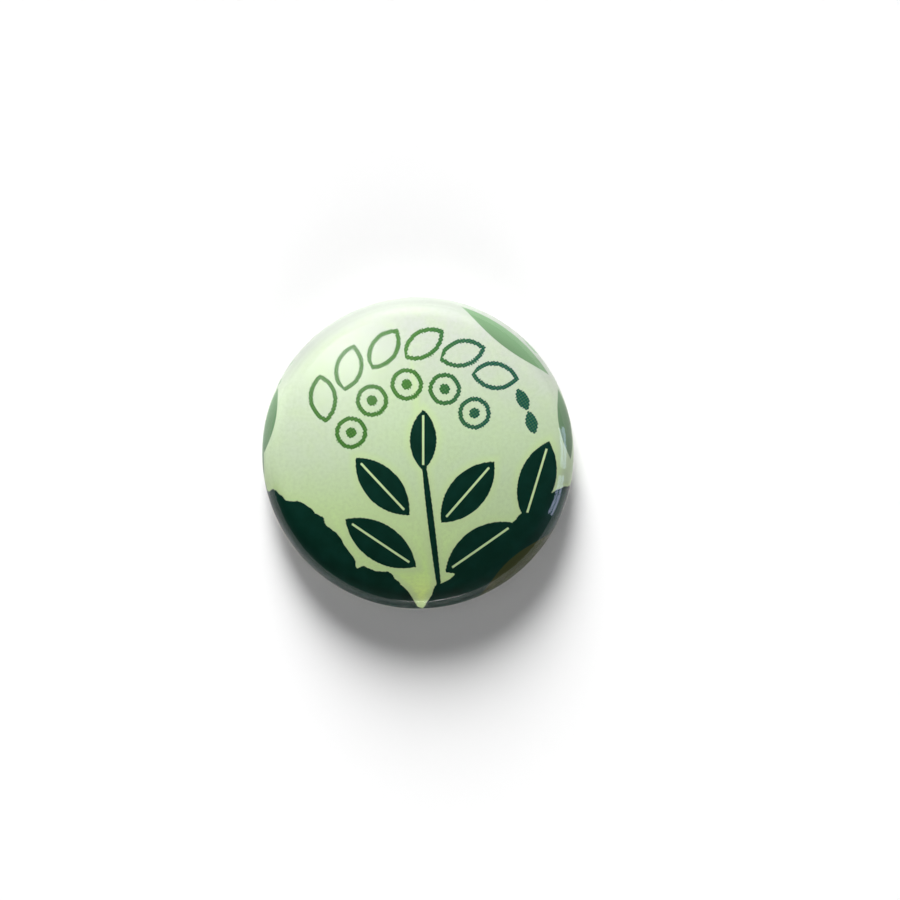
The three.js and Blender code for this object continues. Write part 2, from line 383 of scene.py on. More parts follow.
def flat_reach(front):
    """Half width of the flat map, a little more than any layer's spread."""
    return front.badge_radius * 1.28


def make_layer(name, front, back, depth, thickness, tuck):
    """Film or paper: turned, pleated where it is tucked in, mapped flat and given its thickness."""
    before_curl, curl = front_section(front, back, depth, tuck)
    piece = turn_section(name, before_curl + curl, FINE_SEGMENTS)
    start = sum((q - p).length for p, q in zip(before_curl, [*before_curl[1:], curl[0]]))
    press_pleats(piece, front, back, start)
    map_flat(piece, flat_reach(front))
    thicken(piece, thickness, -1)


def plate_section(front, back):
    """Middle line of the back plate: floor, corner, leaning wall, bead, crest and lip."""
    lean = wall_lean(front, back)
    corner = corner_centre(front, back)
    bead = bead_centre(front, back)
    middle = back.recess_depth + back.plate_thickness / 2
    steps = 12
    flat = [
        Vector((corner.x * i / steps, middle - back.floor_swell * (1 - ease(i / steps)))) for i in range(steps)
    ]
    crest = bead - Vector((back.bead_land, 0))
    points = flat + arc(corner, back.corner_radius, math.pi / 2, -lean, 8)
    points += arc(bead, back.bead_radius, -lean, -math.pi / 2, 10)
    points += arc(crest, back.bead_radius, -math.pi / 2, -math.pi / 2 - back.lip_turn, 6)
    along = Vector((-math.cos(back.lip_turn), math.sin(back.lip_turn)))
    points += [points[-1] + along * back.lip_length * i / 3 for i in (1, 2, 3)]
    return points


# Run of the spring wire, as seen from the back: +X towards the clasp, height from the plate's floor

NEAR_LEG = {"side": 1, "inset": 0.001, "join": math.radians(13.5), "start": math.radians(62)}
FAR_LEG = {"side": -1, "inset": 0.0012, "join": math.radians(-16), "start": math.radians(-40)}
FREE_END = math.radians(166)
SLOPE_INSET = (0.0024, 0.0011)    # how far inside the ring the clasp starts and ends its drop to the floor
CURVE_STEP = 0.00025
NEEDLE_STEPS = 160


class WireRun:
    """Centre line of the wire, worked out from its sizes."""

    def __init__(self, front, back, wire):
        self.wire = wire
        self.depth = back.recess_depth
        self.ring_height = wire.wire_radius + wire.floor_gap
        self.clasp_height = back.recess_depth - wire.clasp_below_rim - wire.wire_radius
        self.needle_height = wire.needle_rise + wire.wire_radius
        lean = wall_lean(front, back)
        inside = back.bead_radius - back.plate_thickness / 2
        foot = bead_centre(front, back) + inside * Vector((math.cos(lean), -math.sin(lean)))
        wall = foot.x + (back.recess_depth - self.ring_height - foot.y) * math.tan(lean)
        self.radius = wall - (wire.wire_radius + wire.wall_gap) / math.cos(lean)
        across = wire.needle_aside - wire.root_bend
        self.root = Vector((wire.root_bend - math.sqrt(self.radius ** 2 - across ** 2), across))
        self.stub_end = self.root.x + wire.root_stub
        self.nose = self.radius - wire.clasp_reach
        self.hairpin = Vector((self.nose + wire.clasp_bend, 0))

    def on_slope(self, point):
        """Height of the clasp over a point: it drops to the floor as it nears the ring."""
        down = ease(point.length, *(self.radius - inset for inset in SLOPE_INSET))
        return Vector((*point, blend(self.clasp_height, self.ring_height, down)))

    def on_ring(self, radius, around):
        return Vector((radius * math.cos(around), radius * math.sin(around), self.ring_height))

    def ring(self, start, end, inset_at=lambda around: 0):
        steps = math.ceil(abs(end - start) / math.radians(6))
        angles = [blend(start, end, i / steps) for i in range(steps + 1)]
        return [self.on_ring(self.radius - inset_at(a), a) for a in angles]

    def closing_in(self, leg):
        return self.ring(
            leg["start"], leg["join"],
            lambda a: leg["inset"] * ease((a - leg["start"]) / (leg["join"] - leg["start"])),
        )

    def leg(self, leg):
        """One leg from the hairpin outwards, and the rounded corner that takes it into the ring."""
        wire = self.wire
        start = self.hairpin + Vector((0, leg["side"] * wire.clasp_bend)) @ Matrix.Rotation(-wire.clasp_skew, 2)
        heading = wire.clasp_skew + leg["side"] * wire.clasp_flare
        along = Vector((math.cos(heading), math.sin(heading)))
        end = start + along * wire.clasp_leg
        inner = self.radius - leg["inset"]
        joined = self.on_ring(inner, leg["join"]).xy
        corner = end + along * (inner - end.length) * 0.8
        rounding = []
        for t in (0, 0.25, 0.5, 0.75):
            rounding.append(end * (1 - t) ** 2 + corner * 2 * t * (1 - t) + joined * t * t)
        return [self.on_slope(point) for point in [start, *rounding]]

    def points(self):
        """Stub, root bend, ring, clasp, and the rest of the ring to its free end."""
        bend = arc(self.root, self.wire.root_bend, math.pi / 2, math.pi, 4)
        rooted = [
            Vector((*point, blend(self.needle_height, self.ring_height, ease(i / 4)))) for i, point in enumerate(bend)
        ]
        rooted_end = math.atan2(bend[-1].y, bend[-1].x)
        if rooted_end > 0:
            rooted_end -= TURN
        skew = self.wire.clasp_skew
        hairpin = arc(self.hairpin, self.wire.clasp_bend, 1.5 * math.pi + skew, 0.5 * math.pi + skew, 6)
        return [
            Vector((self.stub_end, self.wire.needle_aside, self.needle_height)),
            *rooted,
            *self.ring(rooted_end, FAR_LEG["start"])[1:],
            *self.closing_in(FAR_LEG)[1:],
            *reversed(self.leg(FAR_LEG)),
            *[self.on_slope(point) for point in hairpin[1:-1]],
            *self.leg(NEAR_LEG),
            *reversed(self.closing_in(NEAR_LEG)),
            *self.ring(NEAR_LEG["start"], FREE_END)[1:],
        ]

    def in_place(self, point):
        """A point of the back view, in the badge's own frame."""
        return Vector((-point.x, point.y, self.depth - point.z))


def smooth_run(points, step):
    """Points a step apart on the smooth curve through a chain of points."""
    ends = [2 * points[0] - points[1], *points, 2 * points[-1] - points[-2]]
    run = []
    for a, b, c, d in zip(ends, ends[1:], ends[2:], ends[3:]):
        gaps = [math.sqrt((q - p).length) for p, q in ((a, b), (b, c), (c, d))]
        leave = ((b - a) / gaps[0] - (c - a) / (gaps[0] + gaps[1]) + (c - b) / gaps[1]) * gaps[1]
        arrive = ((c - b) / gaps[1] - (d - b) / (gaps[1] + gaps[2]) + (d - c) / gaps[2]) * gaps[1]
        count = max(1, round((c - b).length / step))
        for i in range(count):
            t = i / count
            run.append(
                b * (2 * t ** 3 - 3 * t ** 2 + 1) + leave * (t ** 3 - 2 * t ** 2 + t)
                + c * (3 * t ** 2 - 2 * t ** 3) + arrive * (t ** 3 - t ** 2)
            )
    return [*run, points[-1]]


def draw_wire(name, points, widths, radius):
    """A round wire drawn along the points, its width at each one a share of the whole."""
    piece = draw_line(name, points)
    bpy.ops.object.mode_set(mode="OBJECT")
    bpy.ops.object.convert(target="CURVE")
    curve = piece.data
    curve.bevel_depth = radius
    curve.bevel_resolution = 5
    curve.use_fill_caps = True
    spots = curve.splines[0].points
    if (spots[0].co.xyz - points[0]).length > (spots[-1].co.xyz - points[0]).length:
        widths = widths[::-1]
    for spot, width in zip(spots, widths):
        spot.radius = width
    bpy.ops.object.convert(target="MESH")
    bpy.ops.object.mode_set(mode="EDIT")
    close_mesh()
    return bpy.context.object


# Shader nodes

def place(tree, kind, inputs=None, **settings):
    """Adds a shader node, sets it up, and links or fills its inputs."""
    node = tree.nodes.new("ShaderNode" + kind)
    for key, value in settings.items():
        setattr(node, key, value)
    for key, value in (inputs or {}).items():
        join(tree, value, node.inputs[key])
    return node


def join(tree, value, socket):
    if isinstance(value, bpy.types.NodeSocket):
        tree.links.new(value, socket)
    else:
        socket.default_value = value


def calc(tree, operation, *values):
    return place(tree, "Math", dict(enumerate(values)), operation=operation).outputs[0]


def plus(tree, *values):
    return calc(tree, "ADD", *values)


def minus(tree, *values):
    return calc(tree, "SUBTRACT", *values)


def times(tree, *values):
    return calc(tree, "MULTIPLY", *values)


def move(tree, operation, *values):
    return place(tree, "VectorMath", dict(enumerate(values)), operation=operation).outputs[0]


def scaled(tree, vector, factor):
    return place(tree, "VectorMath", {0: vector, "Scale": factor}, operation="SCALE").outputs[0]


def measure(tree, operation, *values):
    """The number that a vector operation gives, such as a length or a distance."""
    return place(tree, "VectorMath", dict(enumerate(values)), operation=operation).outputs["Value"]


def turned(tree, vector, angle):
    """A vector turned about Z."""
    return place(tree, "VectorRotate", {"Vector": vector, "Angle": angle}, rotation_type="Z_AXIS").outputs[0]


def split(tree, vector):
    """X, Y and Z of a vector."""
    return tuple(place(tree, "SeparateXYZ", {0: vector}).outputs)


def vector_of(tree, *parts):
    return place(tree, "CombineXYZ", dict(enumerate(parts))).outputs[0]


def mix(tree, share, low, high):
    return place(tree, "Mix", {0: share, 6: low, 7: high}, data_type="RGBA").outputs[2]


def span(tree, value, low, high, to_low=0.0, to_high=1.0):
    """Goes smoothly from to_low, where the value is low, to to_high, where it is high."""
    inputs = {"Value": value, "From Min": low, "From Max": high, "To Min": to_low, "To Max": to_high}
    return place(tree, "MapRange", inputs, interpolation_type="SMOOTHSTEP").outputs[0]


def fade(tree, share, low, high):
    """A number that goes from low to high with the share."""
    return plus(tree, low, times(tree, share, minus(tree, high, low)))


def noise(tree, vector, scale, detail=2.0, roughness=0.5):
    inputs = {"Vector": vector, "Scale": scale, "Detail": detail, "Roughness": roughness}
    return place(tree, "TexNoise", inputs).outputs[0]


def least(tree, values):
    smallest = values[0]
    for value in values[1:]:
        smallest = calc(tree, "MINIMUM", smallest, value)
    return smallest


def new_group(name, inputs, outputs):
    """A node group with named inputs and outputs, and its two end nodes."""
    group = bpy.data.node_groups.new(name, "ShaderNodeTree")
    for socket, kind in inputs.items():
        group.interface.new_socket(socket, in_out="INPUT", socket_type="NodeSocket" + kind)
    for socket, kind in outputs.items():
        group.interface.new_socket(socket, in_out="OUTPUT", socket_type="NodeSocket" + kind)
    return group, group.nodes.new("NodeGroupInput"), group.nodes.new("NodeGroupOutput")


def use(tree, name, inputs):
    node = tree.nodes.new("ShaderNodeGroup")
    node.node_tree = bpy.data.node_groups[name]
    for key, value in inputs.items():
        join(tree, value, node.inputs[key])
    return node


VEIN_SHARE = 0.78    # of a leaf's half length


def leaf_group():
    """Distance from a pointed leaf's edge, under 0 inside, and from the vein down its middle."""
    inputs = {"Point": "Vector", "Place": "Vector", "Turn": "Float", "Half Length": "Float", "Half Width": "Float"}
    tree, start, end = new_group("Leaf Shape", inputs, {"Edge": "Float", "Vein": "Float"})
    get = start.outputs
    moved = move(tree, "SUBTRACT", get["Point"], get["Place"])
    along, across, _ = split(tree, turned(tree, moved, times(tree, get["Turn"], -1)))
    across = calc(tree, "ABSOLUTE", across)
    half, wide = get["Half Length"], get["Half Width"]
    squares = calc(tree, "MULTIPLY_ADD", half, half, times(tree, wide, wide))
    radius = calc(tree, "DIVIDE", squares, times(tree, wide, 2))
    rise = plus(tree, across, minus(tree, radius, wide))
    far = calc(tree, "MULTIPLY_ADD", along, along, times(tree, rise, rise))
    past_vein = calc(tree, "MULTIPLY_ADD", half, -VEIN_SHARE, calc(tree, "ABSOLUTE", along))
    join(tree, minus(tree, calc(tree, "SQRT", far), radius), end.inputs["Edge"])
    join(tree, calc(tree, "MAXIMUM", across, past_vein), end.inputs["Vein"])


def grain_group():
    """Fine lines drawn along X: their height, and a slower change of tone."""
    inputs = {"Vector": "Vector", "Turn": "Float", "Across": "Float", "Along": "Float"}
    tree, start, end = new_group("Drawn Grain", inputs, {"Lines": "Float", "Tone": "Float"})
    get = start.outputs
    spot = turned(tree, get["Vector"], times(tree, get["Turn"], -1))
    stretched = move(tree, "MULTIPLY", spot, vector_of(tree, get["Along"], get["Across"], get["Across"]))
    join(tree, noise(tree, stretched, 1.0, 4.0, 0.65), end.inputs["Lines"])
    join(tree, noise(tree, stretched, 0.16, 2.0, 0.5), end.inputs["Tone"])


def new_material(name):
    material = bpy.data.materials.new(name)
    material.use_nodes = True
    tree = material.node_tree
    tree.nodes.clear()
    return material, tree


def millimetres(tree):
    """Object coordinates in millimetres."""
    return scaled(tree, place(tree, "TexCoord").outputs["Object"], 1000.0)


BEAD_OUT = 10.7    # the bead's distance from the axis, in millimetres, at which lengths round it are true


def around_middle(tree, spot):
    """Distance round the axis at the bead, distance from the axis, and height, in millimetres."""
    x, y, height = split(tree, spot)
    around = times(tree, calc(tree, "ARCTAN2", y, x), BEAD_OUT)
    return around, measure(tree, "LENGTH", vector_of(tree, x, y)), height


def surface(tree, inputs):
    """The Principled shader and the material's output."""
    place(tree, "OutputMaterial", {"Surface": place(tree, "BsdfPrincipled", inputs).outputs[0]})


def raised(tree, height, distance, strength=1.0):
    return place(tree, "Bump", {"Height": height, "Distance": distance, "Strength": strength}).outputs[0]


# Print, in millimetres on the flat disc: motifs as ((x, y), turn in degrees, half length, half width)

SCREEN = 0.30
SCREEN_TURN = math.radians(15)
PRINT_TURN = math.radians(-3)
SPRIG = (
    ((-3.3, -7.0), 143, 3.4, 1.5),
    ((-2.9, -2.5), 130, 3.1, 1.4),
    ((4.6, -7.8), 32, 3.4, 1.55),
    ((3.8, -3.3), 46, 3.2, 1.45),
    ((0.5, 1.0), 87, 2.4, 1.05),
    ((9.4, -2.7), 70, 3.3, 1.5),
)
STEM = ((0.8, -5.8), 94, 8.2, 0.26)
SLIVERS = (((7.7, 8.9), -41, 4.6, 0.8), ((12.3, 1.8), 96, 3.0, 0.85), ((-12.1, 3.4), 76, 2.8, 0.8))
# Banks as (middle, radius)
BANKS = (((-14.2, -11.6), 9.4), ((-6.6, -15.4), 6.8), ((13.8, -12.4), 9.2), ((6.8, -16.2), 7.8))
EARTH = ((11.5, -14.5), 7.2)
STROKE, VEIN = 0.17, 0.09    # half widths of an outline and of a leaf's pale vein
# painted shade: the ground darkens over the top edge between these distances
BRIM_SHADE = (10.9, 12.5)    # distances from the middle between which the ground darkens over the top edge
SIDE_OUT = 12.9        # distance from the middle at which the patches on the side start


def at(tree, spot, x, y):
    """Distance from a point of the print."""
    return measure(tree, "DISTANCE", spot, (x, y, 0))


def repeat_round(tree, spot, radius, step, first, last):
    """The print folded so that one motif, drawn at the middle, repeats along an arc."""
    x, y, _ = split(tree, spot)
    number = calc(tree, "ROUND", calc(tree, "DIVIDE", calc(tree, "ARCTAN2", y, x), step))
    held = calc(tree, "MINIMUM", calc(tree, "MAXIMUM", number, first), last)
    return move(tree, "SUBTRACT", turned(tree, spot, times(tree, held, -step)), (radius, 0, 0))


def halftone(tree, spot):
    """Rows of dots at the print's screen, from -1 between them to 1 on them."""
    rows = turned(tree, spot, SCREEN_TURN)
    waves = move(tree, "SINE", move(tree, "MULTIPLY", rows, (TURN / SCREEN, TURN / SCREEN, 0)))
    x, y, _ = split(tree, waves)
    return times(tree, x, y)


def outline(tree, distance):
    return minus(tree, calc(tree, "ABSOLUTE", distance), STROKE)


def leaf(tree, spot, middle, turn, half, wide):
    """One pointed leaf of the print."""
    return use(tree, "Leaf Shape", {
        "Point": spot, "Place": (*middle, 0), "Turn": math.radians(turn), "Half Length": half, "Half Width": wide,
    }).outputs


def small_motifs(tree, spot):
    """Arcs of outlined leaves and rings, and two solid lozenges, over the upper half."""
    outer = repeat_round(tree, spot, 8.7, math.radians(21), 2, 7)
    middle = at(tree, repeat_round(tree, spot, 5.5, math.radians(32), 1, 5), 0, 0)
    side = repeat_round(tree, spot, 9.4, math.radians(12), 1, 2)
    return least(tree, [
        outline(tree, leaf(tree, outer, (0, 0), 128, 1.75, 0.98)["Edge"]),
        outline(tree, minus(tree, middle, 1.12)),
        minus(tree, middle, 0.42),
        leaf(tree, side, (0, 0), 90, 0.95, 0.48)["Edge"],
    ])


def large_shapes(tree, spot):
    """Dark banks and sprig over the lower half, and the pale veins in the sprig's leaves."""
    wobble = calc(tree, "MULTIPLY_ADD", noise(tree, spot, 0.45), 1.8, -0.9)
    banks = [plus(tree, minus(tree, at(tree, spot, *middle), radius), wobble) for middle, radius in BANKS]
    blades = [leaf(tree, spot, *blade) for blade in SPRIG]
    stem = leaf(tree, spot, *STEM)["Edge"]
    return least(tree, [*banks, *(blade["Edge"] for blade in blades), stem]), least(tree, [b["Vein"] for b in blades])


def print_ground(tree, flat, colours):
    """The ground: pale at the top, greener down to the bottom edge, mottled, and darker over the top edge. Part of it
    is painted light: the top and the top edge are darker as painted shade under the low light from the top, the upper
    left is paler as a painted highlight, and the lower half and bottom edge are lighter as painted light where the
    lights fall off.
    """
    x, y, _ = split(tree, flat)
    slanted = calc(tree, "MULTIPLY_ADD", x, 0.15, y)
    # painted highlight: the ground turns paler towards the upper left
    pale = span(tree, at(tree, flat, -8.8, 3.4), 8.5, 1.0, 0.0, 0.75)
    mottle = noise(tree, flat, 0.55, 4.0, 0.6)
    speckle = noise(tree, flat, 3.5, 2.0, 0.6)
    # painted shade over the top edge, against the low light from the top
    over = times(tree, span(tree, at(tree, flat, 0, 0), *BRIM_SHADE), span(tree, y, 2.0, 9.0))
    # darker at the top and lighter towards the bottom: partly print, partly painted light against the low light from
    # the top
    ground = mix(tree, span(tree, slanted, 11.0, 1.0), colours.mint, colours.green)
    for share, tone in (
        (span(tree, slanted, 0.0, -12.0), colours.lime),
        (span(tree, y, -9.0, -12.0), colours.painted_light_straw),
        (pale, colours.painted_highlight_mint),
        (span(tree, mottle, 0.35, 0.75, 0.0, 0.32), colours.halo),
        (span(tree, speckle, 0.35, 0.7, 0.0, 0.18), colours.specks),
        (over, colours.brim_shade),
    ):
        ground = mix(tree, share, ground, tone)
    return ground


def print_colour(tree, flat, colours):
    """The whole printed design, with the painted light in its ground, from the flat disc's coordinates in millimetres.
    """
    level = turned(tree, flat, PRINT_TURN)
    x, y, _ = split(tree, flat)
    dots = halftone(tree, level)

    dark, veins = large_shapes(tree, level)
    dark = calc(tree, "MULTIPLY_ADD", dots, 0.035, dark)
    halo = span(tree, dark, 0.75, 0.1, 0.0, 0.75)
    printed = mix(tree, halo, print_ground(tree, flat, colours), colours.halo)

    small = calc(tree, "MULTIPLY_ADD", dots, 0.06, small_motifs(tree, level))
    small_ink = mix(tree, span(tree, x, -1.0, 6.0), colours.leaf, colours.sea)
    small_ink = mix(tree, span(tree, dots, -0.2, 0.8, 0.0, 0.35), small_ink, colours.halftone)
    printed = mix(tree, calc(tree, "LESS_THAN", small, 0.0), printed, small_ink)

    slivers = least(tree, [leaf(tree, level, *sliver)["Edge"] for sliver in SLIVERS])
    blots = calc(tree, "GREATER_THAN", noise(tree, level, 0.17, 1.5, 0.5), 0.54)
    on_side = times(tree, blots, calc(tree, "GREATER_THAN", at(tree, flat, 0, 0), SIDE_OUT))
    at_rim = calc(tree, "MAXIMUM", on_side, calc(tree, "LESS_THAN", slivers, 0.0))
    printed = mix(tree, at_rim, printed, mix(tree, span(tree, y, -2.0, -9.0), colours.sage, colours.sea))

    uneven = span(tree, noise(tree, flat, 0.8, 3.0), 0.3, 0.8, 0.0, 0.16)
    earth = calc(tree, "LESS_THAN", at(tree, level, *EARTH[0]), EARTH[1])
    ink = mix(tree, earth, mix(tree, uneven, colours.teal, colours.sea), colours.olive)
    inked = calc(tree, "LESS_THAN", dark, 0.0)
    vein = times(tree, calc(tree, "LESS_THAN", veins, VEIN), inked)
    return mix(tree, vein, mix(tree, inked, printed, ink), colours.halo)


def paper_material(colours, reach):
    material, tree = new_material("Printed paper")
    spot = move(tree, "SUBTRACT", place(tree, "UVMap", uv_map=FLAT_MAP).outputs[0], (0.5, 0.5, 0))
    flat = scaled(tree, spot, 2000.0 * reach)
    fibre = noise(tree, flat, 7.0, 5.0, 0.7)
    surface(tree, {
        "Base Color": print_colour(tree, flat, colours),
        "Roughness": span(tree, fibre, 0.3, 0.7, 0.42, 0.58),
        "Specular IOR Level": 0.08,
        "Normal": raised(tree, fibre, 0.0000015, 0.5),
    })
    return material


def film_material(colours):
    """Clear film: a mirror that is as open as film is, seen on the front of each face, and whitened by its creases."""
    material, tree = new_material("Clear film")
    spot = millimetres(tree)
    ripple = plus(tree, noise(tree, spot, 0.5, 2.0), times(tree, noise(tree, spot, 3.0, 2.0), 0.06))
    normal = raised(tree, ripple, 0.00002, 0.5)
    worn = creases(tree, spot)
    bounce = place(tree, "Fresnel", {"IOR": 1.36, "Normal": normal}).outputs[0]
    facing = minus(tree, 1.0, place(tree, "NewGeometry").outputs["Backfacing"])
    surface(tree, {
        "Base Color": mix(tree, worn, (1, 1, 1, 1), colours.worn_film),
        "Metallic": 1.0,
        "Roughness": span(tree, worn, 0.0, 1.0, 0.035, 0.45),
        "Alpha": times(tree, calc(tree, "MAXIMUM", bounce, worn), facing),
        "Normal": normal,
    })
    return material


FOLD_OUT = 11.95    # distance of the film's fold from the axis, in millimetres


def creases(tree, spot):
    """Where the film is whitened: a broken line round the fold, and sparks along it."""
    around, out, height = around_middle(tree, spot)
    wander = times(tree, minus(tree, noise(tree, spot, 0.6), 0.5), 0.14)
    away = calc(tree, "ABSOLUTE", minus(tree, plus(tree, out, wander), FOLD_OUT))
    broken = span(tree, noise(tree, spot, 0.8), 0.42, 0.62)
    line = times(tree, span(tree, away, 0.045, 0.005, 0.0, 0.5), broken)
    fine = noise(tree, vector_of(tree, times(tree, around, 4.5), times(tree, out, 6.0)), 1.0, 1.0)
    sparks = times(tree, span(tree, fine, 0.63, 0.72), span(tree, away, 0.30, 0.06))
    return times(tree, calc(tree, "MAXIMUM", line, sparks), span(tree, height, 1.0, 0.8))


def shell_material(colours):
    material, tree = new_material("Tinplate")
    grain = use(tree, "Drawn Grain", {"Vector": millimetres(tree), "Turn": 0.4, "Across": 9.0, "Along": 0.7})
    surface(tree, {
        "Base Color": colours.tinplate,
        "Metallic": 1.0,
        "Roughness": span(tree, grain.outputs["Lines"], 0.3, 0.7, 0.25, 0.42),
        "Normal": raised(tree, grain.outputs["Lines"], 0.000006, 0.7),
    })
    return material


# Zones of the back plate: distances from the axis in millimetres between which each one starts or ends
RIM_STARTS = (10.05, 10.25)
# painted shade at the bead's inner foot ends between these distances
FOOT_SHADE_ENDS = (10.36, 10.26)
SLOPE_STARTS, SLOPE_ENDS = (10.24, 10.34), (10.84, 10.62)
# the dull band on the slope: partly a rough finish, partly painted shade
DULL_SHADED_STARTS, DULL_SHADED_ENDS = (10.24, 10.38), (10.80, 10.58)


def plate_material(colours):
    """Rolled sheet on the floor, burnished bead, and fine draw marks on the slope inside it, with painted shade on that
    slope, stronger towards the bottom, and at the bead's inner foot.
    """
    material, tree = new_material("Pressed plate")
    spot = millimetres(tree)
    around, out, height = around_middle(tree, spot)
    grain = use(tree, "Drawn Grain", {"Vector": spot, "Turn": math.radians(18), "Across": 11.0, "Along": 0.55})
    lines, tone = grain.outputs["Lines"], grain.outputs["Tone"]
    wrapped = vector_of(tree, around, out, height)
    burnish = use(tree, "Drawn Grain", {"Vector": wrapped, "Turn": 0.0, "Across": 14.0, "Along": 0.6}).outputs["Lines"]
    rim = span(tree, out, *RIM_STARTS)

    hairs = noise(tree, vector_of(tree, times(tree, around, 22.0), out), 1.0, 2.0, 0.6)
    uneven = minus(tree, hairs, 0.5)
    edge = calc(tree, "MULTIPLY_ADD", uneven, 0.30, out)
    dull = times(tree, span(tree, edge, *DULL_SHADED_STARTS), span(tree, edge, *DULL_SHADED_ENDS))
    # painted shade: weaker towards the top, stronger towards the bottom
    dull = times(tree, dull, span(tree, split(tree, spot)[1], 9.0, 1.0, 0.3, 1.0))
    slope = times(tree, span(tree, out, *SLOPE_STARTS), span(tree, out, *SLOPE_ENDS))

    sheet = mix(tree, span(tree, tone, 0.35, 0.65, 0.0, 0.5), colours.plate, colours.plate_bands)
    sheet = mix(tree, span(tree, lines, 0.35, 0.7, 0.0, 0.25), sheet, colours.plate_lines)
    bead = mix(tree, span(tree, burnish, 0.4, 0.7, 0.0, 0.3), colours.bead, colours.bead_lines)
    # painted shade towards the bead's inner foot
    bead = mix(tree, span(tree, out, *FOOT_SHADE_ENDS, 0.0, 0.6), bead, colours.bead_foot_shade)
    # the dark slope colour is painted shade, the lighter marks are draw marks
    marks = mix(tree, span(tree, hairs, 0.35, 0.65), colours.slope, colours.slope_marks)
    bead = mix(tree, times(tree, dull, 0.9), bead, marks)

    rough_sheet = span(tree, lines, 0.3, 0.75, 0.15, 0.27)
    rough_bead = calc(tree, "MULTIPLY_ADD", dull, 0.22, span(tree, burnish, 0.3, 0.75, 0.10, 0.22))
    relief = calc(tree, "MULTIPLY_ADD", times(tree, uneven, slope), 0.6, fade(tree, rim, lines, burnish))
    surface(tree, {
        "Base Color": mix(tree, rim, sheet, bead),
        "Metallic": 1.0,
        "Roughness": fade(tree, rim, rough_sheet, rough_bead),
        "Normal": raised(tree, relief, 0.000006, 0.65),
    })
    return material


def wire_material(colours):
    """Nickel-plated wire with draw lines along it and a dull film in patches."""
    material, tree = new_material("Nickel wire")
    spot = millimetres(tree)
    along = place(tree, "UVMap", uv_map="UVMap").outputs[0]
    lines = noise(tree, move(tree, "MULTIPLY", along, (240.0, 30.0, 1.0)), 1.0, 3.0, 0.6)
    film = noise(tree, spot, 0.9, 4.0, 0.6)
    pits = noise(tree, spot, 14.0, 3.0, 0.6)
    bare = mix(tree, span(tree, film, 0.45, 0.75, 0.0, 0.45), colours.wire, colours.stain)
    bare = mix(tree, span(tree, pits, 0.62, 0.8, 0.0, 0.5), bare, colours.stain)
    surface(tree, {
        "Base Color": bare,
        "Metallic": 1.0,
        "Roughness": span(tree, film, 0.3, 0.75, 0.12, 0.28),
        "Normal": raised(tree, plus(tree, lines, times(tree, pits, 0.5)), 0.000005, 0.8),
    })
    return material


# Operators

class BADGE_OT_film(bpy.types.Operator):
    """Make the clear film, drawn over the badge and pleated where it is tucked in"""

    bl_idname = "badge.make_film"
    bl_label = "Clear Film"

    def execute(self, context):
        front, back = context.scene.badge_front, context.scene.badge_back
        make_layer("film_cover", front, back, layer_depths(front)[0], front.film_thickness, front.film_tuck)
        finish_piece(context.object, film_material(context.scene.badge_colours), "badge", "clear_film", "clear_film")
        return {"FINISHED"}


class BADGE_OT_paper(bpy.types.Operator):
    """Make the printed paper under the film"""

    bl_idname = "badge.make_paper"
    bl_label = "Printed Paper"

    def execute(self, context):
        front, back = context.scene.badge_front, context.scene.badge_back
        make_layer("printed_disc", front, back, layer_depths(front)[1], front.paper_thickness, front.paper_tuck)
        material = paper_material(context.scene.badge_colours, flat_reach(front))
        finish_piece(context.object, material, "badge", "printed_paper", "printed_paper")
        return {"FINISHED"}


class BADGE_OT_shell(bpy.types.Operator):
    """Make the domed tinplate shell"""

    bl_idname = "badge.make_shell"
    bl_label = "Front Shell"

    def execute(self, context):
        front, back = context.scene.badge_front, context.scene.badge_back
        before_curl, curl = front_section(front, back, layer_depths(front)[2], front.shell_tuck)
        piece = turn_section("shell_dome", before_curl + curl, SHELL_SEGMENTS)
        thicken(piece, front.shell_thickness, -1)
        finish_piece(piece, shell_material(context.scene.badge_colours), "badge", "tinplate", "front_shell")
        return {"FINISHED"}


class BADGE_OT_plate(bpy.types.Operator):
    """Make the pressed back plate with its bead and curled lip"""

    bl_idname = "badge.make_plate"
    bl_label = "Back Plate"

    def execute(self, context):
        front, back = context.scene.badge_front, context.scene.badge_back
        piece = turn_section("pressed_plate", plate_section(front, back), FINE_SEGMENTS)
        thicken(piece, back.plate_thickness, 0)
        modify(piece, "BEVEL", width=back.edge_rounding, segments=2, limit_method="ANGLE", angle_limit=math.radians(60))
        finish_piece(piece, plate_material(context.scene.badge_colours), "badge", "nickel_sheet", "back_plate")
        return {"FINISHED"}


